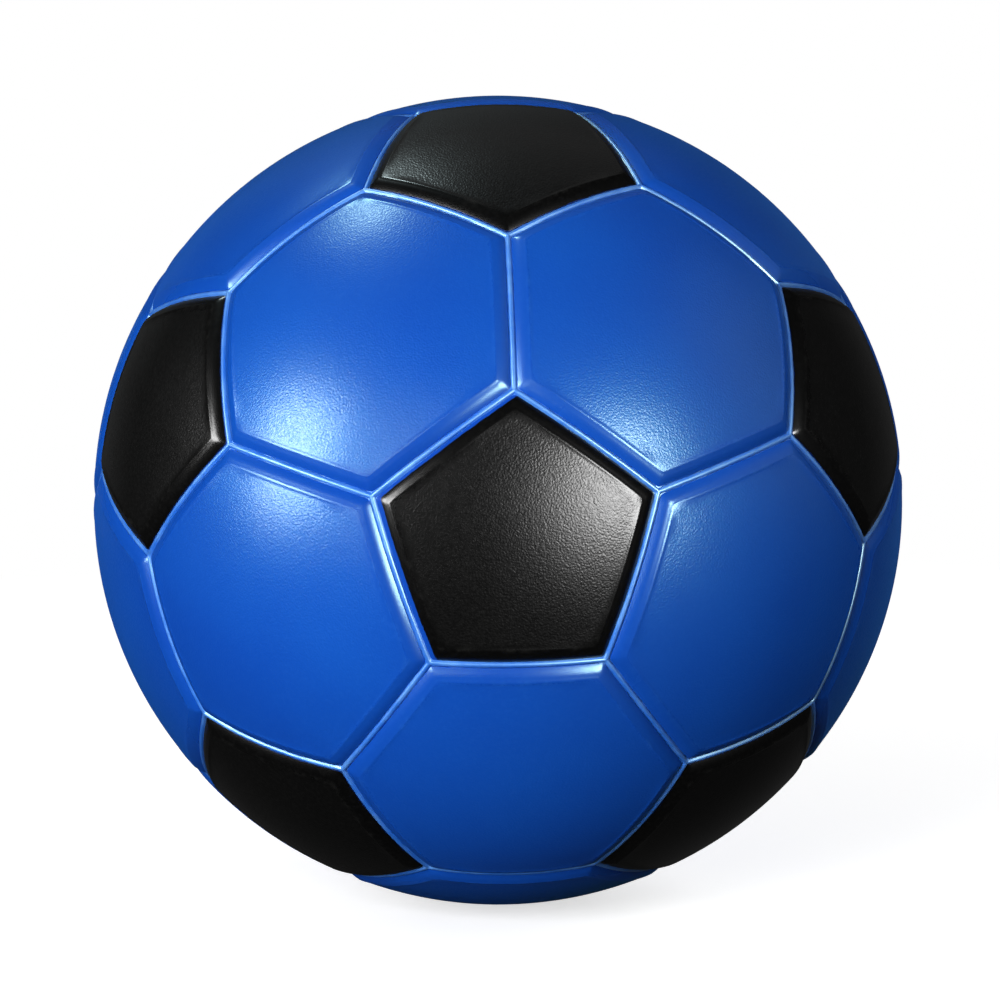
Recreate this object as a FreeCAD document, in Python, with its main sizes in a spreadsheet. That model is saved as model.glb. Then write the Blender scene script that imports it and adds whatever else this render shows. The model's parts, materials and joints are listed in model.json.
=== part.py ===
"""Inflatable rubber playground ball with a football pattern, in millimetres.

The ball is a laminated rubber shell.  A butyl bladder carries the valve housing.  A nylon
thread winding and a rubber carcass lie over it, and the cover is twelve black pentagon
panels and twenty blue hexagon panels.  Every panel has rounded shoulders, and the gap
between neighbours is the seam channel.  A thin bead of the carcass stands up along the
middle of every channel.  A removable plug closes the valve.

Frame: origin at the centre of the ball, +Z up, -Y through the middle of the front pentagon,
which has one corner up.  Each panel is drawn about its own +Z, the way out of the ball, with
its first corner along +X, and is then turned to its place.
"""
import FreeCAD, Part
import math
import os

import Sketcher
from FreeCAD import Placement, Rotation, Vector

# ---------------------------------------------------------------- truncated icosahedron

ROOT_FIVE = math.sqrt(5)
SOLID_RADIUS = math.sqrt(58 + 18 * ROOT_FIVE) / 4        # circumradius of a solid with edge 1


def corner_angle(sides):
    """Angle at the ball's centre between the middle of a panel and one of its corners."""
    face_radius = 0.5 / math.sin(math.pi / sides)
    return math.degrees(math.asin(face_radius / SOLID_RADIUS))


PENTAGON_TILT = math.degrees(math.atan(2))
INNER_HEXAGON_TILT = math.degrees(math.acos(math.sqrt((5 + 2 * ROOT_FIVE) / 15)))
OUTER_HEXAGON_TILT = math.degrees(math.acos(math.sqrt((5 - 2 * ROOT_FIVE) / 15)))

# Clock angles, from straight up and clockwise as seen from the front.
CORNER_CLOCK = {"top": 0, "right": 72, "lower_right": 144, "lower_left": 216, "left": 288}
EDGE_CLOCK = {"upper_right": 36, "right": 108, "bottom": 180, "left": 252, "upper_left": 324}

# Ring name, number of sides, tilt from the front, clock angles, and whether the panels of
# the ring point a corner at the front of the ball.
RINGS = [
    ("pentagon_front", 5, PENTAGON_TILT, CORNER_CLOCK, True),
    ("pentagon_rear", 5, 180 - PENTAGON_TILT, EDGE_CLOCK, False),
    ("hexagon_front", 6, INNER_HEXAGON_TILT, EDGE_CLOCK, False),
    ("hexagon_mid_front", 6, OUTER_HEXAGON_TILT, EDGE_CLOCK, False),
    ("hexagon_mid_rear", 6, 180 - OUTER_HEXAGON_TILT, CORNER_CLOCK, False),
    ("hexagon_rear", 6, 180 - INNER_HEXAGON_TILT, CORNER_CLOCK, False),
]
VALVE_PANEL = "hexagon_rear_left"

# ---------------------------------------------------------------- driving dimensions

DIMENSIONS = {
    "ball_radius": 110.0,
    "cover_thickness": 1.9,
    "carcass_thickness": 0.4,
    "winding_thickness": 0.3,
    "bladder_thickness": 0.35,
    "bond_line": 0.02,               # cement between two layers
    "seam_gap": 1.4,                 # between the sides of two panels
    "bead_width": 0.8,               # the carcass's bead in the middle of that gap
    "bead_height": 0.8,
    "shoulder_radius": 1.5,          # round along a panel's outer edge
    "corner_radius": 1.2,            # round at a panel's corners
    "pentagon_corner_angle": corner_angle(5),
    "hexagon_corner_angle": corner_angle(6),
    "blank_base": 94.0,              # a panel's pyramid runs between these two heights
    "blank_top": 112.0,
    "port_radius": 5.05,             # hole for the valve neck through all four layers
    "port_round": 0.6,
    "neck_radius": 5.0,
    "neck_top": 109.2,
    "stem_radius": 5.6,
    "stem_end": 88.4,
    "stem_round": 1.5,
    "flange_radius": 13.0,
    "flange_thickness": 1.2,
    "seat_radius": 4.3,              # recess for the plug's head
    "seat_level": 107.8,
    "core_bore_radius": 3.2,
    "core_bore_end": 90.2,
    "air_hole_radius": 0.8,
    "head_radius": 4.0,
    "head_round": 0.4,
    "head_top": 109.1,
    "head_gap": 0.03,
    "core_radius": 3.15,
    "core_groove_radius": 2.85,
    "core_end": 91.0,
    "core_tip_chamfer": 0.7,
    "groove_first": 2.5,             # from the plug's end to its first sealing groove
    "groove_pitch": 4.0,
    "groove_width": 1.2,
    "needle_radius": 1.05,
    "needle_end": 96.2,
    "funnel_radius": 1.9,
    "funnel_depth": 0.9,
}

doc = FreeCAD.newDocument("playground_ball")
sheet = doc.addObject("Spreadsheet::Sheet", "Dimensions")
for row, (alias, value) in enumerate(DIMENSIONS.items(), start=1):
    sheet.set(f"A{row}", alias)
    sheet.set(f"B{row}", str(value))
    sheet.setAlias(f"B{row}", alias)
doc.recompute()

COVER_INNER = "Dimensions.ball_radius - Dimensions.cover_thickness"
CARCASS_OUTER = f"{COVER_INNER} - Dimensions.bond_line"
CARCASS_INNER = f"{CARCASS_OUTER} - Dimensions.carcass_thickness"
BEAD_TOP = f"{CARCASS_OUTER} + Dimensions.bead_height"
WINDING_OUTER = f"{CARCASS_INNER} - Dimensions.bond_line"
WINDING_INNER = f"{WINDING_OUTER} - Dimensions.winding_thickness"
BLADDER_OUTER = f"{WINDING_INNER} - Dimensions.bond_line"
BLADDER_INNER = f"{BLADDER_OUTER} - Dimensions.bladder_thickness"
FLANGE_OUTER = f"{BLADDER_INNER} - Dimensions.bond_line"
FLANGE_INNER = f"{FLANGE_OUTER} - Dimensions.flange_thickness"

parts = []                                               # every sub-part, in export order


def size(formula):
    """What a formula over the sheet comes to."""
    return float(sheet.evalExpression(formula))


# ---------------------------------------------------------------- shells and panels

def sphere(name, radius):
    """A solid sphere about the origin, its poles along Y so that no pole falls in a panel."""
    ball = doc.addObject("Part::Sphere", name)
    ball.setExpression("Radius", radius)
    ball.Placement = Placement(Vector(0, 0, 0), Rotation(Vector(1, 0, 0), 90))
    return ball


def cut(name, base, tool):
    """The base without the tool."""
    difference = doc.addObject("Part::Cut", name)
    difference.Base = base
    difference.Tool = tool
    return difference


def shell(name, outer, inner):
    """A hollow sphere between two radii."""
    return cut(name, sphere(f"{name}_outside", outer), sphere(f"{name}_inside", inner))


def ported(name, base, placement):
    """The base with the hole for the valve neck, along the +Z of the placement."""
    drill = doc.addObject("Part::Cylinder", f"{name}_drill")
    drill.setExpression("Radius", "Dimensions.port_radius")
    drill.setExpression("Height", "Dimensions.blank_top")
    drill.Placement = placement
    return cut(f"{name}_holed", base, drill)


def pyramid(name, sides, gap):
    """A frustum over one panel, whose sides stand half the gap inside the seams."""
    corner = f"Dimensions.{'pentagon' if sides == 5 else 'hexagon'}_corner_angle"
    side = f"atan(tan({corner}) * cos(180 / {sides}))"
    apex = f"{gap} / 2 / sin({side})"
    sections = []
    for level in ("blank_base", "blank_top"):
        polygon = doc.addObject("Part::RegularPolygon", f"{name}_{level}")
        polygon.Polygon = sides
        polygon.setExpression("Circumradius", f"(Dimensions.{level} - {apex}) * tan({corner})")
        polygon.setExpression("Placement.Base.z", f"Dimensions.{level}")
        sections.append(polygon)
    frustum = doc.addObject("Part::Loft", f"{name}_pyramid")
    frustum.Sections = sections
    frustum.Solid = True
    frustum.Ruled = True
    return frustum


def on_sphere(edge, radius):
    """Whether an edge lies on the sphere of this radius about the origin."""
    middle = edge.valueAt((edge.FirstParameter + edge.LastParameter) / 2)
    ends = [vertex.Point for vertex in edge.Vertexes]
    return all(abs(point.Length - radius) < 1e-4 for point in ends + [middle])


def rounded_edges(shape):
    """Edge numbers and radii: the outer rim, the corners, and the port's rim if there is one."""
    outer = size("Dimensions.ball_radius")
    inner = size(COVER_INNER)
    port = size("Dimensions.port_radius")
    rounds = []
    for number, edge in enumerate(shape.Edges, start=1):
        around_port = math.hypot(*edge.CenterOfMass[:2]) < port
        if on_sphere(edge, outer):
            radius = size("Dimensions.port_round" if around_port else "Dimensions.shoulder_radius")
        elif around_port or on_sphere(edge, inner):
            continue
        else:
            radius = size("Dimensions.corner_radius")
        rounds.append((number, radius, radius))
    return rounds


def panel(name, sides, placement):
    """One cover panel: a piece of the cover's shell with rounded shoulders and corners."""
    blank = doc.addObject("Part::Common", f"{name}_blank")
    blank.Base = shell(f"{name}_shell", "Dimensions.ball_radius", COVER_INNER)
    blank.Tool = pyramid(name, sides, "Dimensions.seam_gap")
    if name == VALVE_PANEL:
        blank = ported(name, blank, Placement())
    doc.recompute()
    rounded = doc.addObject("Part::Fillet", name)
    rounded.Base = blank
    rounded.Edges = rounded_edges(blank.Shape)
    rounded.Placement = placement
    parts.append(rounded)


def layer(name, wall, valve_placement):
    """One closed layer under the cover, with the hole for the valve neck."""
    holed = ported(name, wall, valve_placement)
    holed.Label = name
    parts.append(holed)


def seam_bead(placements):
    """The bead along every seam: a thin shell less the space over each panel."""
    spaces = []
    for name, (sides, placement) in placements.items():
        space = pyramid(f"{name}_bead", sides, "Dimensions.bead_width")
        space.Placement = placement
        spaces.append(space)
    all_spaces = doc.addObject("Part::Compound", "bead_spaces")
    all_spaces.Links = spaces
    ribbed_ball = cut("bead_ball", sphere("bead_outside", BEAD_TOP), all_spaces)
    return cut("seam_bead", ribbed_ball, sphere("bead_inside", CARCASS_OUTER))


# ---------------------------------------------------------------- turned valve pieces

def turned(name, corners, placement):
    """A body turned about +Z from a closed outline, and the feature that turns it.

    A corner is (distance from the axis, height), both formulas.  A corner whose height is a
    tuple ("sphere", radius) lies on that sphere, and two such corners in a row are joined by
    an arc of it.
    """
    body = doc.addObject("PartDesign::Body", name)
    sketch = body.newObject("Sketcher::SketchObject", f"{name}_outline")
    plane = next(item for item in body.Origin.OriginFeatures if item.Role == "XZ_Plane")
    sketch.AttachmentSupport = [(plane, "")]
    sketch.MapMode = "FlatFace"

    points = []
    for out, height in corners:
        distance = size(out)
        if isinstance(height, tuple):
            points.append(Vector(distance, math.sqrt(size(height[1]) ** 2 - distance ** 2), 0))
        else:
            points.append(Vector(distance, size(height), 0))

    following = corners[1:] + corners[:1]
    ahead = points[1:] + points[:1]
    for (_, height), (_, next_height), start, end in zip(corners, following, points, ahead):
        if isinstance(height, tuple) and height == next_height:
            angles = sorted([math.atan2(start.y, start.x), math.atan2(end.y, end.x)])
            circle = Part.Circle(Vector(0, 0, 0), Vector(0, 0, 1), start.Length)
            sketch.addGeometry(Part.ArcOfCircle(circle, *angles), False)
        else:
            sketch.addGeometry(Part.LineSegment(start, end), False)

    def end_at(index, point):
        """Which end of this edge of the outline is at the point."""
        return 1 if (sketch.getPoint(index, 1) - point).Length < 1e-6 else 2

    for index, (out, height) in enumerate(corners):
        here = end_at(index, points[index])
        before = (index - 1) % len(corners)
        sketch.addConstraint(Sketcher.Constraint(
            "Coincident", before, end_at(before, points[index]), index, here))
        if points[index].x == 0:
            sketch.addConstraint(Sketcher.Constraint("PointOnObject", index, here, -2))
        else:
            number = sketch.addConstraint(Sketcher.Constraint(
                "DistanceX", -1, 1, index, here, points[index].x))
            sketch.setExpression(f"Constraints[{number}]", out)
        if not isinstance(height, tuple):
            number = sketch.addConstraint(Sketcher.Constraint(
                "DistanceY", -1, 1, index, here, points[index].y))
            sketch.setExpression(f"Constraints[{number}]", height)
        elif height == following[index][1]:
            sketch.addConstraint(Sketcher.Constraint("Coincident", index, 3, -1, 1))
            number = sketch.addConstraint(Sketcher.Constraint("Radius", index, points[index].Length))
            sketch.setExpression(f"Constraints[{number}]", height[1])

    revolution = body.newObject("PartDesign::Revolution", f"{name}_turning")
    revolution.Profile = sketch
    revolution.ReferenceAxis = (sketch, ["V_Axis"])
    revolution.Angle = 360
    doc.recompute()
    body.Placement = placement
    parts.append(body)
    return body, revolution


def round_rim(body, base, name, radius, reach, level):
    """Round the circular edge of a turned body that has this radius and height."""
    for number, edge in enumerate(base.Shape.Edges, start=1):
        middle = edge.valueAt((edge.FirstParameter + edge.LastParameter) / 2)
        same_reach = abs(math.hypot(middle.x, middle.y) - size(reach)) < 1e-4
        if same_reach and abs(middle.z - size(level)) < 1e-4:
            rim = number
    fillet = body.newObject("PartDesign::Fillet", name)
    fillet.Base = (base, [f"Edge{rim}"])
    fillet.setExpression("Radius", radius)
    body.Tip = fillet


def valve_housing(placement):
    """Neck, flange bonded inside the bladder, and a blind stem with an air hole at its end."""
    outside = ("sphere", FLANGE_OUTER)
    inside = ("sphere", FLANGE_INNER)
    body, turning = turned("valve_housing", [
        ("Dimensions.air_hole_radius", "Dimensions.stem_end"),
        ("Dimensions.stem_radius", "Dimensions.stem_end"),
        ("Dimensions.stem_radius", inside),
        ("Dimensions.flange_radius", inside),
        ("Dimensions.flange_radius", outside),
        ("Dimensions.neck_radius", outside),
        ("Dimensions.neck_radius", "Dimensions.neck_top"),
        ("Dimensions.seat_radius", "Dimensions.neck_top"),
        ("Dimensions.seat_radius", "Dimensions.seat_level"),
        ("Dimensions.core_bore_radius", "Dimensions.seat_level"),
        ("Dimensions.core_bore_radius", "Dimensions.core_bore_end"),
        ("Dimensions.air_hole_radius", "Dimensions.core_bore_end"),
    ], placement)
    round_rim(body, turning, "stem_end_round", "Dimensions.stem_round",
              "Dimensions.stem_radius", "Dimensions.stem_end")


def valve_plug(placement):
    """Soft plug with a head, two sealing grooves and a blind hole for the inflating needle."""
    outline = [
        ("0", "Dimensions.core_end"),
        ("Dimensions.core_radius - Dimensions.core_tip_chamfer", "Dimensions.core_end"),
        ("Dimensions.core_radius", "Dimensions.core_end + Dimensions.core_tip_chamfer"),
    ]
    for groove in range(2):
        low = f"Dimensions.core_end + Dimensions.groove_first + {groove} * Dimensions.groove_pitch"
        high = f"{low} + Dimensions.groove_width"
        outline += [
            ("Dimensions.core_radius", low),
            ("Dimensions.core_groove_radius", low),
            ("Dimensions.core_groove_radius", high),
            ("Dimensions.core_radius", high),
        ]
    head_base = "Dimensions.seat_level + Dimensions.head_gap"
    funnel_base = "Dimensions.head_top - Dimensions.funnel_depth"
    outline += [
        ("Dimensions.core_radius", head_base),
        ("Dimensions.head_radius", head_base),
        ("Dimensions.head_radius", "Dimensions.head_top"),
        ("Dimensions.funnel_radius", "Dimensions.head_top"),
        ("Dimensions.needle_radius", funnel_base),
        ("Dimensions.needle_radius", "Dimensions.needle_end"),
        ("0", "Dimensions.needle_end"),
    ]
    body, turning = turned("valve_plug", outline, placement)
    round_rim(body, turning, "head_rim_round", "Dimensions.head_round",
              "Dimensions.head_radius", "Dimensions.head_top")


# ---------------------------------------------------------------- placing and building

def panel_placement(tilt, clock, sides, corner_to_front):
    """Turn a panel so that it faces out at this tilt from the front and this clock angle."""
    tilt = math.radians(tilt)
    clock = math.radians(clock)
    front = Vector(0, -1, 0)
    sideways = Vector(math.sin(clock), 0, math.cos(clock))
    outward = front * math.cos(tilt) + sideways * math.sin(tilt)
    to_front = front * math.sin(tilt) - sideways * math.cos(tilt)
    half_turn = 0 if corner_to_front else 180 / sides
    first_corner = Rotation(outward, half_turn).multVec(to_front)
    across = outward.cross(first_corner)
    return Placement(Vector(0, 0, 0), Rotation(first_corner, across, outward, "ZXY"))


placements = {
    "pentagon_front": (5, panel_placement(0, 0, 5, False)),
    "pentagon_rear": (5, panel_placement(180, 0, 5, False)),
}
for ring, sides, tilt, clocks, corner_to_front in RINGS:
    for clock_name, clock in clocks.items():
        place = panel_placement(tilt, clock, sides, corner_to_front)
        placements[f"{ring}_{clock_name}"] = (sides, place)

for name, (sides, place) in placements.items():
    panel(name, sides, place)

valve_placement = placements[VALVE_PANEL][1]
carcass_wall = doc.addObject("Part::Fuse", "carcass_wall")
carcass_wall.Base = shell("carcass_shell", CARCASS_OUTER, CARCASS_INNER)
carcass_wall.Tool = seam_bead(placements)
layer("carcass", carcass_wall, valve_placement)
layer("winding", shell("winding_wall", WINDING_OUTER, WINDING_INNER), valve_placement)
layer("bladder", shell("bladder_wall", BLADDER_OUTER, BLADDER_INNER), valve_placement)
valve_housing(valve_placement)
valve_plug(valve_placement)

doc.recompute()
for item in doc.Objects:
    if "Invalid" in item.State or "Error" in item.State:
        raise RuntimeError(f"{item.Label} did not build: {item.State}")
for part in parts:
    if part.Shape.isNull() or not part.Shape.isValid() or len(part.Shape.Solids) != 1:
        raise RuntimeError(f"{part.Label} is not one valid solid")

os.makedirs("parts", exist_ok=True)
for part in parts:
    part.Shape.exportStep(f"parts/{part.Label}.step")
for part in parts:
    print(f"{part.Label}: {part.Shape.Volume:.0f} mm3")
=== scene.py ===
import json
import math

import bmesh
import bpy
import numpy as np
from mathutils import Matrix, Vector


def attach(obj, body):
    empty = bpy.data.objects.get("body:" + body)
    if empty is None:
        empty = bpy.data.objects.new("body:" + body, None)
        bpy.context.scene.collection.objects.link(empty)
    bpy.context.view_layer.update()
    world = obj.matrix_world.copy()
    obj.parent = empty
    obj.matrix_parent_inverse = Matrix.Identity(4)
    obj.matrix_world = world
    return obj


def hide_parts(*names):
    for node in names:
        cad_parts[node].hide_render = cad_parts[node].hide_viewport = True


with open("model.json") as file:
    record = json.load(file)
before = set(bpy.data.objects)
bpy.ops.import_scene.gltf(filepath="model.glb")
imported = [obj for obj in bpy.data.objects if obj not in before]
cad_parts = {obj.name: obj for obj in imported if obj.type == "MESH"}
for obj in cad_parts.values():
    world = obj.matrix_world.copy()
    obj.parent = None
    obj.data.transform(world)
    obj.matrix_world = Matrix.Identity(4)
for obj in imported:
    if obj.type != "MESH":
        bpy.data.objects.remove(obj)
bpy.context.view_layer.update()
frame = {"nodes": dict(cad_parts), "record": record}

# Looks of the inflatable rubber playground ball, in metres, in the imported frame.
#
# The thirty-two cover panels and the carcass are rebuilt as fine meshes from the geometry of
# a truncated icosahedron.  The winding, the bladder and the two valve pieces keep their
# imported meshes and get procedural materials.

# ---------------------------------------------------------------- driving sizes

MM = 0.001
MOUNTS = {mount["name"]: mount for mount in frame["record"]["mounts"]}
BALL_RADIUS = -MOUNTS["rest_point"]["pos_m"][2]
COVER_THICKNESS = 1.9 * MM
BOND_LINE = 0.02 * MM            # cement between two layers
CARCASS_THICKNESS = 0.4 * MM
COVER_INNER = BALL_RADIUS - COVER_THICKNESS
CARCASS_OUTER = COVER_INNER - BOND_LINE
CARCASS_INNER = CARCASS_OUTER - CARCASS_THICKNESS
PORT_RADIUS = 5.05 * MM          # hole for the valve neck
PORT_LIP = 0.8 * MM              # round at its outer end

SEAM_GAP = 1.75 * MM             # between the sides of two panels
BEAD_HALF_WIDTH = 0.72 * MM
BEAD_HEIGHT = 0.8 * MM
BEAD_SOFTNESS = 0.04 * MM        # how far the beads blend where three of them meet
SHOULDER_WIDTH = 3.7 * MM        # from a panel's rim in to its face
CREASE_WIDTH = 1.3 * MM          # the shoulder's inner part, where it bends down from the face
CREASE_SLOPE = 0.26              # steepness of the shoulder where the crease ends
RIM_SLOPE = 0.70                 # and at the rim
LIP_INSET = 3.5 * MM             # a low raised lip runs round the face, this far in from the rim
LIP_HALF_WIDTH = 0.8 * MM
LIP_HEIGHT = 0.13 * MM
CORNER_SOFTNESS = 0.35 * MM      # rounding of a panel's outline and shoulder at its corners
PILLOW = 0.20 * MM               # a face's fall below the ball's sphere, from middle to sides
BLACK_INSET = 0.85 * MM          # the black colour starts this far in from the seam
BLACK_SHIFTS = {"pentagon_front": (1.5 * MM, 0, 0)}   # colour printed out of place

# ---------------------------------------------------------------- the panel pattern

ROOT_FIVE = math.sqrt(5)
SOLID_RADIUS = math.sqrt(58 + 18 * ROOT_FIVE) / 4


def corner_angle(sides):
    """Angle at the ball's centre between the middle of a panel and one of its corners."""
    return math.asin(0.5 / math.sin(math.pi / sides) / SOLID_RADIUS)


def side_angle(sides):
    """Angle at the ball's centre between the middle of a panel and the middle of a side."""
    return math.atan(math.tan(corner_angle(sides)) * math.cos(math.pi / sides))


PENTAGON_TILT = math.degrees(math.atan(2))
INNER_HEXAGON_TILT = math.degrees(math.acos(math.sqrt((5 + 2 * ROOT_FIVE) / 15)))
OUTER_HEXAGON_TILT = math.degrees(math.acos(math.sqrt((5 - 2 * ROOT_FIVE) / 15)))
CORNER_CLOCK = {"top": 0, "right": 72, "lower_right": 144, "lower_left": 216, "left": 288}
EDGE_CLOCK = {"upper_right": 36, "right": 108, "bottom": 180, "left": 252, "upper_left": 324}

# Ring name, number of sides, tilt from the front, clock angles, and whether the panels of
# the ring point a corner at the front of the ball.
RINGS = [
    ("pentagon_front", 5, PENTAGON_TILT, CORNER_CLOCK, True),
    ("pentagon_rear", 5, 180 - PENTAGON_TILT, EDGE_CLOCK, False),
    ("hexagon_front", 6, INNER_HEXAGON_TILT, EDGE_CLOCK, False),
    ("hexagon_mid_front", 6, OUTER_HEXAGON_TILT, EDGE_CLOCK, False),
    ("hexagon_mid_rear", 6, 180 - OUTER_HEXAGON_TILT, CORNER_CLOCK, False),
    ("hexagon_rear", 6, 180 - INNER_HEXAGON_TILT, CORNER_CLOCK, False),
]
VALVE_PANEL = "hexagon_rear_left"


def panel_frame(tilt, clock, sides, corner_to_front):
    """Rotation that takes a panel drawn about +Z, first corner along +X, to its place."""
    tilt = math.radians(tilt)
    clock = math.radians(clock)
    front = Vector((0, -1, 0))
    sideways = Vector((math.sin(clock), 0, math.cos(clock)))
    outward = front * math.cos(tilt) + sideways * math.sin(tilt)
    to_front = front * math.sin(tilt) - sideways * math.cos(tilt)
    turn = 0 if corner_to_front else math.pi / sides
    first_corner = Matrix.Rotation(turn, 3, outward) @ to_front
    across = outward.cross(first_corner)
    return np.array([first_corner, across, outward]).T


PANELS = {
    "pentagon_front": (5, panel_frame(0, 0, 5, False)),
    "pentagon_rear": (5, panel_frame(180, 0, 5, False)),
}
for ring, sides, tilt, clocks, corner_to_front in RINGS:
    for clock_name, clock in clocks.items():
        PANELS[f"{ring}_{clock_name}"] = (sides, panel_frame(tilt, clock, sides, corner_to_front))

# ---------------------------------------------------------------- distances on the ball


def seam_distance(directions, sides, softness):
    """How far in each unit direction lies from the panel's seams, soft at the corners.

    The directions are in the panel's own frame.
    """
    lean = side_angle(sides)
    distances = []
    for side in range(sides):
        around = (2 * side + 1) * math.pi / sides
        inward = np.array([-math.cos(around) * math.cos(lean),
                           -math.sin(around) * math.cos(lean), math.sin(lean)])
        distances.append(BALL_RADIUS * np.arcsin(np.clip(directions @ inward, -1, 1)))
    nearest = np.min(distances, axis=0)
    closeness = sum(np.exp((nearest - distance) / softness) for distance in distances)
    return nearest - softness * np.log(closeness)


def unit(points):
    """Unit directions to points of the plane that touches the unit sphere at the panel."""
    points = np.concatenate([points, np.ones(points.shape[:-1] + (1,))], axis=-1)
    return points / np.linalg.norm(points, axis=-1, keepdims=True)


SEARCH_REACH = 1.2               # where the search for the rim starts, in corner distances
HALVINGS = 40


def rim_reach(angles, sides):
    """Reach of the panel's rim in that plane at these angles, found by halving."""
    low = np.zeros_like(angles)
    high = np.full_like(angles, SEARCH_REACH * math.tan(corner_angle(sides)))
    rays = np.stack([np.cos(angles), np.sin(angles)], axis=-1)
    for _ in range(HALVINGS):
        middle = (low + high) / 2
        distance = seam_distance(unit(rays * middle[..., None]), sides, CORNER_SOFTNESS)
        inside = distance > SEAM_GAP / 2
        low = np.where(inside, middle, low)
        high = np.where(inside, high, middle)
    return low


def seam_reach(angles, sides):
    """Reach of the middle line of the seams in that plane at these angles."""
    step = 2 * math.pi / sides
    from_corner = (angles + step / 2) % step - step / 2
    return math.tan(side_angle(sides)) / np.cos(step / 2 - np.abs(from_corner))


# ---------------------------------------------------------------- grids over a panel

WELD_DISTANCE = 1e-7
SHORTEST_EDGE = 1e-8
SHARP_ANGLE = math.radians(50)   # an edge bent more than this isn't shaded smooth


class Patchwork:
    """Points and faces of one closed piece, collected patch by patch and then welded."""

    def __init__(self):
        self.points = []
        self.faces = []
        self.count = 0

    def grid(self, points, outward=True):
        """A rows by columns grid of points, its faces turned out of the ball or into it."""
        rows, columns = points.shape[:2]
        numbers = self.count + np.arange(rows * columns).reshape(rows, columns)
        corners = [numbers[:-1, :-1], numbers[1:, :-1], numbers[1:, 1:], numbers[:-1, 1:]]
        quads = np.stack(corners, axis=-1).reshape(-1, 4)
        self.faces.append(quads if outward else quads[:, ::-1])
        self.points.append(points.reshape(-1, 3))
        self.count += rows * columns

    def build(self, name):
        """The welded mesh as an object in the scene."""
        mesh = bpy.data.meshes.new(name)
        points = np.concatenate(self.points)
        mesh.from_pydata(points.tolist(), [], np.concatenate(self.faces).tolist())
        work = bmesh.new()
        work.from_mesh(mesh)
        bmesh.ops.remove_doubles(work, verts=work.verts, dist=WELD_DISTANCE)
        bmesh.ops.dissolve_degenerate(work, edges=work.edges, dist=SHORTEST_EDGE)
        bmesh.ops.recalc_face_normals(work, faces=work.faces)
        for face in work.faces:
            face.smooth = True
        for edge in work.edges:
            edge.smooth = edge.calc_face_angle(0) < SHARP_ANGLE
        work.to_mesh(mesh)
        work.free()
        piece = bpy.data.objects.new(name, mesh)
        bpy.context.scene.collection.objects.link(piece)
        return piece


def kite_grids(sides, fractions, reach):
    """Plane points of one kite-shaped grid for each corner of the panel.

    A kite runs from the panel's middle to the middles of two sides and the corner between
    them.  reach gives the outline's distance from the middle at any angle.
    """
    apothem = math.cos(math.pi / sides)
    along, across = np.meshgrid(fractions, fractions, indexing="ij")
    for corner in range(sides):
        middle_angle = 2 * math.pi * corner / sides
        turned = [middle_angle - math.pi / sides, middle_angle, middle_angle + math.pi / sides]
        before, tip, after = [np.array([math.cos(a), math.sin(a)]) for a in turned]
        flat = (before * apothem * (along * (1 - across))[..., None]
                + after * apothem * ((1 - along) * across)[..., None]
                + tip * (along * across)[..., None])
        angles = np.arctan2(flat[..., 1], flat[..., 0])
        from_middle = np.arctan2(np.sin(angles - middle_angle), np.cos(angles - middle_angle))
        sharp = apothem / np.cos(math.pi / sides - np.abs(from_middle))
        yield flat * (reach(angles, sides) / sharp)[..., None]


def rim_angles(sides, fractions):
    """Angles of the rim points, once round the panel, where the kites' grids meet the rim."""
    half_side = np.arctan(fractions * math.tan(math.pi / sides))
    first = 2 * math.pi / sides * np.arange(sides)[:, None] - math.pi / sides
    up = first + half_side
    down = first + 2 * math.pi / sides - half_side[::-1][1:-1]
    loop = np.concatenate([up, down], axis=1).ravel()
    return np.append(loop, loop[0] + 2 * math.pi)


def ring_grid(angles, reaches):
    """Plane points of rings: one row for each angle, one column for each ring, inner first."""
    rays = np.stack([np.cos(angles), np.sin(angles)], axis=-1)
    return rays[:, None, :] * np.stack(reaches, axis=-1)[..., None]


def at_height(plane_points, height, place):
    """Points on the ball over these plane points; height is a number or one for each."""
    return (unit(plane_points) * np.asarray(height)[..., None]) @ place.T


# ---------------------------------------------------------------- cover panels

# Grid lines as shares of the way from a panel's middle to its outline.
SHOULDER_SHARE = 0.16            # the last of the way, over the shoulder: closer lines
FACE_LINES = 11
SHOULDER_LINES = 19
FACE_STEPS = np.linspace(0, 1 - SHOULDER_SHARE, FACE_LINES)
SHOULDER_STEPS = 1 - SHOULDER_SHARE * (1 - np.linspace(0, 1, SHOULDER_LINES)[1:])
PANEL_FRACTIONS = np.concatenate([FACE_STEPS, SHOULDER_STEPS])
UNDERSIDE_STEPS = [0.0, 0.35, 0.7, 0.93, 1.0]
PORT_LIP_LINES = 7
PORT_LIP_STEPS = PORT_LIP * (1 - np.cos(np.linspace(0, math.pi / 2, PORT_LIP_LINES)))


def shoulder_drop(inset):
    """How far a panel's surface lies below its face, this far in from its rim.

    The slope rises evenly over the crease, from level, and evenly again from there to the rim.
    """
    out = np.clip(SHOULDER_WIDTH - inset, 0, None)
    in_crease = np.minimum(out, CREASE_WIDTH)
    past_crease = out - in_crease
    gain = (RIM_SLOPE - CREASE_SLOPE) / (SHOULDER_WIDTH - CREASE_WIDTH)
    crease_drop = CREASE_SLOPE * in_crease ** 2 / (2 * CREASE_WIDTH)
    return crease_drop + CREASE_SLOPE * past_crease + gain * past_crease ** 2 / 2


def lip_rise(inset):
    """How far the moulded lip stands above the panel's face, this far in from the rim."""
    share = np.clip(1 - np.abs(inset - LIP_INSET) / LIP_HALF_WIDTH, 0, 1)
    return LIP_HEIGHT * share ** 2 * (3 - 2 * share)


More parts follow.
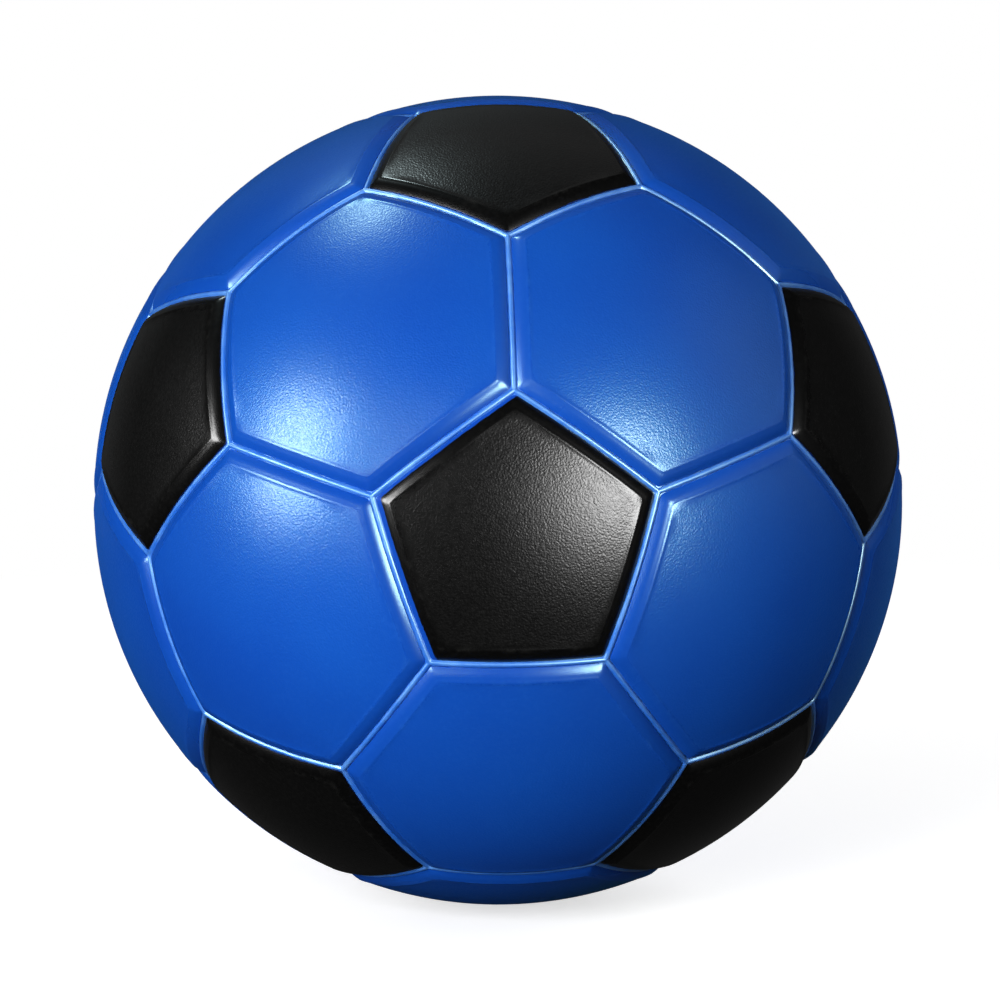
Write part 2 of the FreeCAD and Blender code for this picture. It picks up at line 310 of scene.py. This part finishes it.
def face_height(plane_points, sides):
    """Distance from the ball's centre to the cover's surface over these plane points."""
    directions = unit(plane_points)
    inset = seam_distance(directions, sides, CORNER_SOFTNESS) - SEAM_GAP / 2
    bulge = (1 - directions[..., 2]) / (1 - math.cos(side_angle(sides)))
    return BALL_RADIUS - PILLOW * bulge - shoulder_drop(inset) + lip_rise(inset)


def cover_panel(name):
    """One closed cover panel with its rounded shoulders, and the port if it has the valve."""
    sides, place = PANELS[name]
    ported = name == VALVE_PANEL
    work = Patchwork()
    angles = rim_angles(sides, PANEL_FRACTIONS)
    rim = rim_reach(angles, sides)
    hole = math.tan(PORT_RADIUS / BALL_RADIUS) if ported else 0.0

    if ported:
        lip = [np.full_like(rim, hole + step / BALL_RADIUS) for step in PORT_LIP_STEPS]
        face = [lip[-1] + (rim - lip[-1]) * fraction for fraction in PANEL_FRACTIONS[1:]]
        flat = ring_grid(angles, lip + face)
        height = face_height(flat, sides)
        from_hole = (np.linalg.norm(flat, axis=-1) - hole) * BALL_RADIUS
        into_lip = np.clip(PORT_LIP - from_hole, 0, None)
        height = height - (PORT_LIP - np.sqrt(np.clip(PORT_LIP ** 2 - into_lip ** 2, 0, None)))
        work.grid(at_height(flat, height, place))
        wall = np.stack([at_height(flat[:, 0], COVER_INNER, place),
                         at_height(flat[:, 0], height[:, 0], place)], axis=1)
        work.grid(wall)
    else:
        for flat in kite_grids(sides, PANEL_FRACTIONS, rim_reach):
            work.grid(at_height(flat, face_height(flat, sides), place))

    edge = ring_grid(angles, [rim])[:, 0]
    side = np.stack([at_height(edge, face_height(edge, sides), place),
                     at_height(edge, COVER_INNER, place)], axis=1)
    work.grid(side)
    under = ring_grid(angles, [hole + (rim - hole) * step for step in UNDERSIDE_STEPS])
    work.grid(at_height(under, COVER_INNER, place), outward=False)
    piece = work.build(f"{name}_panel")
    mark_panel(piece, name)
    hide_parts(name)
    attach(piece, "ball")
    return piece


def mark_panel(piece, name):
    """Store each point's distance in from the seams, as moulded and as coloured, in mm."""
    sides, place = PANELS[name]
    mesh = piece.data
    points = np.zeros(len(mesh.vertices) * 3)
    mesh.vertices.foreach_get("co", points)
    points = points.reshape(-1, 3)
    coloured = points - np.array(BLACK_SHIFTS.get(name, (0, 0, 0)))
    for attribute_name, source in (("moulded_mm", points), ("coloured_mm", coloured)):
        directions = source / np.linalg.norm(source, axis=1, keepdims=True)
        distance = seam_distance(directions @ place, sides, CORNER_SOFTNESS) / MM
        attribute = mesh.attributes.new(attribute_name, "FLOAT", "POINT")
        attribute.data.foreach_set("value", distance.astype(np.float32))


# ---------------------------------------------------------------- carcass

PANEL_REACH = 34                 # roughly, from a panel's middle to its sides, in mm
FIELD_LINES = 8                  # inside the beads, where the layer is plain
BEAD_STEPS = np.array([1.4, 0.9, 0.66, 0.62, 0.52, 0.40, 0.27, 0.14, 0.0]) / PANEL_REACH
FIELD_STEPS = np.linspace(0, 1 - BEAD_STEPS[0], FIELD_LINES)[:-1]
CARCASS_FRACTIONS = np.concatenate([FIELD_STEPS, 1 - BEAD_STEPS])


def carcass_height(plane_points, sides):
    """Distance from the ball's centre to the carcass, with the round bead along each seam."""
    distance = seam_distance(unit(plane_points), sides, BEAD_SOFTNESS)
    share = np.clip(distance / BEAD_HALF_WIDTH, 0, 1)
    return CARCASS_OUTER + BEAD_HEIGHT * np.sqrt(1 - share ** 2)


def carcass():
    """The rubber layer under the panels, one closed piece with a hole for the valve neck."""
    work = Patchwork()
    for name, (sides, place) in PANELS.items():
        ported = name == VALVE_PANEL
        angles = rim_angles(sides, CARCASS_FRACTIONS)
        rim = seam_reach(angles, sides)
        hole = math.tan(PORT_RADIUS / BALL_RADIUS) if ported else 0.0
        if ported:
            flat = ring_grid(angles, [hole + (rim - hole) * step for step in CARCASS_FRACTIONS])
            work.grid(at_height(flat, carcass_height(flat, sides), place))
            ring = flat[:, 0]
            wall = np.stack([at_height(ring, CARCASS_INNER, place),
                             at_height(ring, CARCASS_OUTER, place)], axis=1)
            work.grid(wall)
        else:
            for flat in kite_grids(sides, CARCASS_FRACTIONS, seam_reach):
                work.grid(at_height(flat, carcass_height(flat, sides), place))
        under = ring_grid(angles, [hole + (rim - hole) * step for step in UNDERSIDE_STEPS])
        work.grid(at_height(under, CARCASS_INNER, place), outward=False)
    piece = work.build("carcass_layer")
    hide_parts("carcass")
    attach(piece, "ball")
    return piece


# ---------------------------------------------------------------- materials


class Nodes:
    """Short calls for building one node material."""

    def __init__(self, name):
        self.material = bpy.data.materials.new(name)
        self.material.use_nodes = True
        self.tree = self.material.node_tree
        self.shader = self.tree.nodes["Principled BSDF"]

    def add(self, kind, settings=None, **values):
        """A node with these settings and input values; a linked value is a socket."""
        node = self.tree.nodes.new(kind)
        for key, value in (settings or {}).items():
            setattr(node, key, value)
        for key, value in values.items():
            self.set(node.inputs[key.replace("_", " ")], value)
        return node

    def set(self, socket, value):
        """Give a socket a value, or link another node's output to it."""
        if isinstance(value, bpy.types.NodeSocket):
            self.tree.links.new(value, socket)
        else:
            socket.default_value = value

    def object_points(self):
        """The point's place in the object's own frame, in metres."""
        return self.add("ShaderNodeTexCoord").outputs["Object"]

    def noise(self, scale, detail=2.0, roughness=0.5):
        """Smooth noise; scale is the number of blobs in a metre."""
        return self.add("ShaderNodeTexNoise", Vector=self.object_points(), Scale=scale,
                        Detail=detail, Roughness=roughness).outputs["Fac"]

    def attribute(self, name):
        """A number stored on the mesh's points."""
        return self.add("ShaderNodeAttribute", {"attribute_name": name}).outputs["Fac"]

    def grazing(self):
        """0 where the surface faces the eye, 1 at its outline."""
        return self.add("ShaderNodeLayerWeight", Blend=0.5).outputs["Facing"]

    def span(self, value, low, high, to_low=0.0, to_high=1.0):
        """The value stretched from one range to another and held inside it."""
        node = self.add("ShaderNodeMapRange", Value=value, From_Min=low, From_Max=high,
                        To_Min=to_low, To_Max=to_high)
        return node.outputs["Result"]

    def maths(self, operation, first, second):
        """Two values combined by a Math node's operation."""
        node = self.add("ShaderNodeMath", {"operation": operation})
        self.set(node.inputs[0], first)
        self.set(node.inputs[1], second)
        return node.outputs[0]

    def mix(self, factor, first, second):
        """A colour between two; colours are tuples or sockets."""
        node = self.add("ShaderNodeMix", {"data_type": "RGBA"})
        for socket, value in zip((node.inputs[0], node.inputs[6], node.inputs[7]),
                                 (factor, first, second)):
            self.set(socket, value)
        return node.outputs[2]

    def bump(self, height, distance, strength=1.0, under=None):
        """The normal of a surface raised by height, 0 to 1, times the distance."""
        node = self.add("ShaderNodeBump", Height=height, Distance=distance, Strength=strength)
        if under is not None:
            self.set(node.inputs["Normal"], under)
        return node.outputs["Normal"]


def colour(red, green, blue):
    """A colour given as it looks on a screen, 0 to 255, as the linear value nodes use."""
    def linear(value):
        value = value / 255
        return value / 12.92 if value <= 0.04045 else ((value + 0.055) / 1.055) ** 2.4
    return (linear(red), linear(green), linear(blue), 1.0)


# Where along a panel's edge its finish changes, in mm in from the seams.
FACE_FROM = 4.2                  # the pebbled face starts here
FACE_FULL = 6.4                  # and has its whole grain from here
RIDGE_IN = (5.6, 4.6)            # the scuffed ridge fades in between these
RIDGE_OUT = (3.5, 4.3)           # and out between these
INLAY_EDGE = 0.12                # half the width of the black colour's blurred edge
INLAY_WOBBLE = 0.18              # how far that edge wanders

# Blobs of noise in a metre.
WAVE_SCALE = 90
GRAIN_SCALE = 2100
TONE_SCALE = 22
SPECKLE_SCALE = 900
SCUFF_SCALE = 260
WOBBLE_SCALE = 300
UNEVEN_SCALE = 35
FACET_SCALE = 1500

GRAZING_DULLNESS = 0.35          # the pebbles hide one another at a low angle
SHOULDER_GLOSS = 0.06            # the shoulders are this much less rough than the face
COVER_COAT_ROUGHNESS = 0.25
BEAD_COAT_ROUGHNESS = 0.33

WHITE_GLINT = (1.0, 1.0, 1.0, 1.0)
BLUE = colour(14, 76, 176)
BLUE_DEEP = colour(12, 68, 168)
BLUE_WORN = colour(40, 100, 190)
BLACK = colour(3, 3, 3)
BLACK_GREY = colour(5, 5, 5)
BLACK_WORN = colour(40, 40, 39)


def pebbled(nodes, depth, on_face):
    """The normal of finely pebbled moulded rubber, whose grain fades out on the shoulders."""
    wave = nodes.bump(nodes.noise(WAVE_SCALE), 0.08 * MM, 0.25)
    grain = nodes.noise(GRAIN_SCALE, 0.0)
    return nodes.bump(grain, depth, nodes.span(on_face, 0, 1, 0.10, 1.0), under=wave)


def cover_rubber(name, plain, deep, paler_tone, depth, roughness, glint, coat, masked=None):
    """Pebbled cover rubber, a little uneven in tone and paler along the shoulders.

    With masked, that colour shows outside the black inlay.
    """
    nodes = Nodes(name)
    shader = nodes.shader
    distance = nodes.attribute("moulded_mm")
    on_face = nodes.span(distance, FACE_FROM, FACE_FULL)

    tone = nodes.mix(nodes.span(nodes.noise(TONE_SCALE, 3.0), 0.3, 0.7), deep, plain)
    speckle = nodes.span(nodes.noise(SPECKLE_SCALE), 0.45, 0.75, 0.0, 0.10)
    tone = nodes.mix(speckle, tone, paler_tone)
    ridge = nodes.maths("MULTIPLY", nodes.span(distance, *RIDGE_OUT),
                        nodes.span(distance, *RIDGE_IN))
    scuffs = nodes.span(nodes.noise(SCUFF_SCALE, 4.0, 0.65), 0.50, 0.68, 0.0, 0.3)
    tone = nodes.mix(nodes.maths("MULTIPLY", ridge, scuffs), tone, paler_tone)
    if masked:
        wobble = nodes.span(nodes.noise(WOBBLE_SCALE), 0, 1, -INLAY_WOBBLE, INLAY_WOBBLE)
        inlay = nodes.maths("ADD", nodes.attribute("coloured_mm"), wobble)
        start = BLACK_INSET / MM
        inside = nodes.span(inlay, start - INLAY_EDGE, start + INLAY_EDGE)
        tone = nodes.mix(inside, masked, tone)
    nodes.set(shader.inputs["Base Color"], tone)

    facets = nodes.span(nodes.noise(FACET_SCALE, 1.0), 0.34, 0.66)
    facets = nodes.maths("MULTIPLY", facets, on_face)
    uneven = nodes.span(nodes.noise(UNEVEN_SCALE, 3.0), 0.3, 0.7, -0.02, 0.02)
    uneven = nodes.maths("ADD", uneven, nodes.span(facets, 0, 1, -0.03, 0.03))
    rough = nodes.span(on_face, 0, 1, roughness - SHOULDER_GLOSS, roughness)
    dulled = nodes.span(nodes.grazing(), 0.60, 0.90, 0.0, GRAZING_DULLNESS)
    rough = nodes.maths("ADD", nodes.maths("ADD", uneven, rough), dulled)
    nodes.set(shader.inputs["Roughness"], rough)

    faded_coat = nodes.span(nodes.grazing(), 0.18, 0.50, coat, 0.0)
    broken_coat = nodes.maths("MULTIPLY", nodes.span(facets, 0, 1, 1.0, 0.5), faded_coat)
    nodes.set(shader.inputs["Coat Weight"], broken_coat)
    shader.inputs["Coat Roughness"].default_value = COVER_COAT_ROUGHNESS
    shader.inputs["Specular IOR Level"].default_value = 0.5
    shader.inputs["Specular Tint"].default_value = glint

    pebbles = pebbled(nodes, depth, on_face)
    nodes.set(shader.inputs["Normal"], pebbles)
    nodes.set(shader.inputs["Coat Normal"], pebbles)
    return nodes.material


def smooth_rubber(name, plain, paler_tone, roughness, index=1.5, coat=0.0, glint=WHITE_GLINT):
    """Smooth moulded rubber with faint blooming and mould marks; on the beads the paler colour of
    the blooming is partly painted highlight.
    """
    nodes = Nodes(name)
    shader = nodes.shader
    shader.inputs["Specular Tint"].default_value = glint
    shader.inputs["IOR"].default_value = index
    shader.inputs["Coat Weight"].default_value = coat
    shader.inputs["Coat Roughness"].default_value = BEAD_COAT_ROUGHNESS
    # Noise patches of the paler colour: real blooming on the butyl and the valve rubber, and on
    # the beads partly painted highlight that stands in for their bright glint lines.
    bloom_and_glint = nodes.span(nodes.noise(120, 4.0, 0.6), 0.42, 0.72, 0.0, 0.6)
    nodes.set(shader.inputs["Base Color"], nodes.mix(bloom_and_glint, plain, paler_tone))
    rough = nodes.span(nodes.noise(400), 0.3, 0.7, roughness - 0.05, roughness + 0.05)
    nodes.set(shader.inputs["Roughness"], rough)
    nodes.set(shader.inputs["Normal"], nodes.bump(nodes.noise(500), 0.03 * MM, 0.2))
    return nodes.material


def wound_thread(name):
    """Nylon thread wound over the bladder: fine crossing strands set in cement."""
    nodes = Nodes(name)
    strands = None
    for turn in ((0.3, 0.2, 0.0), (1.2, 0.5, 0.8), (0.6, 1.4, 2.0)):
        turned = nodes.add("ShaderNodeMapping", Vector=nodes.object_points(), Rotation=turn)
        wave = nodes.add("ShaderNodeTexWave", {"bands_direction": "X"},
                         Vector=turned.outputs["Vector"], Scale=480.0, Distortion=1.5,
                         Detail=1.0, Detail_Scale=0.4)
        fac = wave.outputs["Fac"]
        strands = fac if strands is None else nodes.maths("MAXIMUM", strands, fac)
    tint = nodes.mix(strands, colour(120, 112, 96), colour(214, 208, 190))
    nodes.set(nodes.shader.inputs["Base Color"], tint)
    nodes.shader.inputs["Roughness"].default_value = 0.6
    nodes.set(nodes.shader.inputs["Normal"], nodes.bump(strands, 0.15 * MM, 1.0))
    return nodes.material


def finish_with(piece, material):
    """Give a piece one material."""
    piece.data.materials.clear()
    piece.data.materials.append(material)


BLUE_GRAIN = 0.043 * MM
BLACK_GRAIN = 0.064 * MM
BLUE_GLINT = (0.20, 0.88, 0.82, 1.0)
BEAD_GLINT = (0.50, 0.90, 1.0, 1.0)
BEAD_INDEX = 2.4                 # stands in for the bright polish of the beads
BLUE_COVER = cover_rubber("blue_pebbled_rubber", BLUE, BLUE_DEEP, BLUE_WORN, BLUE_GRAIN,
                          roughness=0.345, glint=BLUE_GLINT, coat=0.78)
BLACK_COVER = cover_rubber("black_pebbled_rubber", BLACK, BLACK_GREY, BLACK_WORN, BLACK_GRAIN,
                           roughness=0.33, glint=WHITE_GLINT, coat=0.0, masked=BLUE_DEEP)
# Carcass and beads; their paler second colour, spread in noise patches, is partly painted
# highlight that stands in for the beads' bright glint lines.
BLUE_CARCASS_PAINTED_GLINT = smooth_rubber("blue_carcass_rubber_painted_glint", colour(38, 110, 215), colour(110, 170, 240),
                             roughness=0.42, index=BEAD_INDEX, coat=0.8, glint=BEAD_GLINT)
BUTYL = smooth_rubber("butyl_rubber", colour(34, 34, 36), colour(60, 60, 62), roughness=0.6)
VALVE_BLACK = smooth_rubber("valve_black_rubber", colour(26, 26, 26), colour(58, 58, 58),
                            roughness=0.42)
PLUG_GREY = smooth_rubber("plug_grey_rubber", colour(44, 44, 46), colour(84, 84, 86),
                          roughness=0.32)
KEPT_NODES = {
    "winding": wound_thread("wound_nylon_thread"),
    "bladder": BUTYL,
    "valve_housing": VALVE_BLACK,
    "valve_plug": PLUG_GREY,
}

for panel_name in PANELS:
    if panel_name.startswith("pentagon"):
        finish_with(cover_panel(panel_name), BLACK_COVER)
    else:
        finish_with(cover_panel(panel_name), BLUE_COVER)
finish_with(carcass(), BLUE_CARCASS_PAINTED_GLINT)

for node_name, material in KEPT_NODES.items():
    for material_slot in frame["nodes"][node_name].material_slots:
        material_slot.material = material

# ---------------------------------------------------------------- camera

CAMERA_AZIMUTH = -2.45
CAMERA_ELEVATION = 5.65
CAMERA_ROLL = -0.75
CAMERA_DISTANCE = 9.5 * BALL_RADIUS
BALL_ON_SENSOR = 0.8094          # the ball's width as a share of the picture's
SENSOR_WIDTH = 36.0
CAMERA_OFFSET = 0.53 * MM        # to the right, which sets the ball a little left of middle


def direction(azimuth, elevation):
    """Unit direction from the ball; azimuth 0 is the front, -Y, and positive is to +X."""
    azimuth, elevation = math.radians(azimuth), math.radians(elevation)
    return Vector((math.sin(azimuth) * math.cos(elevation),
                   -math.cos(azimuth) * math.cos(elevation), math.sin(elevation)))


def make_camera():
    """A long lens at the viewing angle, rolled slightly, with the ball in mid-picture."""
    data = bpy.data.cameras.new("camera")
    half_ball = math.tan(math.asin(BALL_RADIUS / CAMERA_DISTANCE))
    data.sensor_width = SENSOR_WIDTH
    data.lens = SENSOR_WIDTH * BALL_ON_SENSOR / 2 / half_ball
    data.clip_start = 0.01
    camera = bpy.data.objects.new("camera", data)
    back = direction(CAMERA_AZIMUTH, CAMERA_ELEVATION)
    azimuth = math.radians(CAMERA_AZIMUTH)
    level = Vector((math.cos(azimuth), math.sin(azimuth), 0))
    upright = back.cross(level)
    roll = math.radians(CAMERA_ROLL)
    right = level * math.cos(roll) + upright * math.sin(roll)
    up = back.cross(right)
    placed = Matrix((right, up, back)).transposed().to_4x4()
    placed.translation = back * CAMERA_DISTANCE + right * CAMERA_OFFSET
    camera.matrix_world = placed
    bpy.context.scene.collection.objects.link(camera)
    bpy.context.scene.camera = camera


make_camera()

# ---------------------------------------------------------------- light and floor

WHITE = (1.0, 1.0, 1.0)
COOL = (0.78, 0.97, 1.0)
LIGHTS = [
    # name, azimuth, elevation, distance, width, height, watts, whether it shows in the gloss,
    # whether it lights the colour, tint
    ("gloss_left", -59.5, 14.5, 1.1, 0.38, 0.48, 12.0, True, False, WHITE),
    ("gloss_right", 30, 8.5, 1.1, 0.40, 0.44, 15.0, True, False, WHITE),
    ("gloss_top", -121, 64, 1.1, 0.14, 0.14, 2.9, True, False, COOL),
    ("overhead", 180, 62, 1.3, 1.20, 1.00, 0.4, True, False, WHITE),
    ("key_left", -28, 11, 1.1, 0.60, 0.60, 17.0, False, True, WHITE),
    ("fill_right", 88, 25, 1.1, 0.90, 0.90, 5.8, False, True, WHITE),
    ("rear_left", -150, 4, 1.2, 0.60, 0.50, 8.0, False, True, WHITE),
    ("rear_right", 155, 6, 1.2, 0.60, 0.50, 5.0, False, True, WHITE),
]


def make_light(name, azimuth, elevation, distance, width, height, watts, glossy, diffuse, tint):
    """A soft box that faces the ball."""
    data = bpy.data.lights.new(name, "AREA")
    data.shape = "RECTANGLE"
    data.size = width
    data.size_y = height
    data.energy = watts
    data.color = tint
    light = bpy.data.objects.new(name, data)
    out = direction(azimuth, elevation)
    light.location = out * distance
    light.rotation_euler = (-out).to_track_quat("-Z", "Y").to_euler()
    light.visible_glossy = glossy
    light.visible_diffuse = diffuse
    bpy.context.scene.collection.objects.link(light)


for light in LIGHTS:
    make_light(*light)

WORLD_SEEN = 1.0                 # how bright the studio looks
WORLD_LIGHT = 0.02               # how much light it throws on the ball
FLOOR_GLOW = 0.62                # the floor's own light, which keeps it pale
FLOOR_RADIUS = 30
FLOOR_FADE = (0.15, 0.8)         # it turns into the white studio between these distances


def make_world():
    """White to look at, and a dim even light on the ball."""
    world = bpy.data.worlds.new("studio")
    world.use_nodes = True
    tree = world.node_tree
    background = tree.nodes["Background"]
    path = tree.nodes.new("ShaderNodeLightPath")
    strength = tree.nodes.new("ShaderNodeMapRange")
    strength.inputs["To Min"].default_value = WORLD_LIGHT
    strength.inputs["To Max"].default_value = WORLD_SEEN
    tree.links.new(path.outputs["Is Camera Ray"], strength.inputs["Value"])
    tree.links.new(strength.outputs["Result"], background.inputs["Strength"])
    background.inputs["Color"].default_value = (1, 1, 1, 1)
    bpy.context.scene.world = world


def make_floor():
    """A wide pale floor under the ball that fades into the white studio far out."""
    work = bmesh.new()
    bmesh.ops.create_circle(work, cap_ends=True, radius=FLOOR_RADIUS, segments=96)
    mesh = bpy.data.meshes.new("floor")
    work.to_mesh(mesh)
    work.free()
    floor = bpy.data.objects.new("floor", mesh)
    floor.location.z = -BALL_RADIUS
    bpy.context.scene.collection.objects.link(floor)
    nodes = Nodes("pale_floor")
    nodes.set(nodes.shader.inputs["Base Color"], (0.8, 0.8, 0.8, 1))
    nodes.shader.inputs["Roughness"].default_value = 0.9
    nodes.shader.inputs["Specular IOR Level"].default_value = 0.1
    nodes.set(nodes.shader.inputs["Emission Color"], (1, 1, 1, 1))
    nodes.shader.inputs["Emission Strength"].default_value = FLOOR_GLOW
    length = nodes.add("ShaderNodeVectorMath", {"operation": "LENGTH"},
                       Vector=nodes.object_points())
    far = nodes.span(length.outputs["Value"], *FLOOR_FADE)
    glow = nodes.add("ShaderNodeEmission", Color=(1, 1, 1, 1), Strength=WORLD_SEEN)
    both = nodes.add("ShaderNodeMixShader")
    nodes.set(both.inputs[0], far)
    nodes.set(both.inputs[1], nodes.shader.outputs[0])
    nodes.set(both.inputs[2], glow.outputs[0])
    output = nodes.tree.nodes["Material Output"]
    nodes.set(output.inputs["Surface"], both.outputs[0])
    mesh.materials.append(nodes.material)
    floor.visible_glossy = False
    floor.visible_diffuse = False


make_world()
make_floor()
bpy.context.scene.view_settings.view_transform = "Standard"
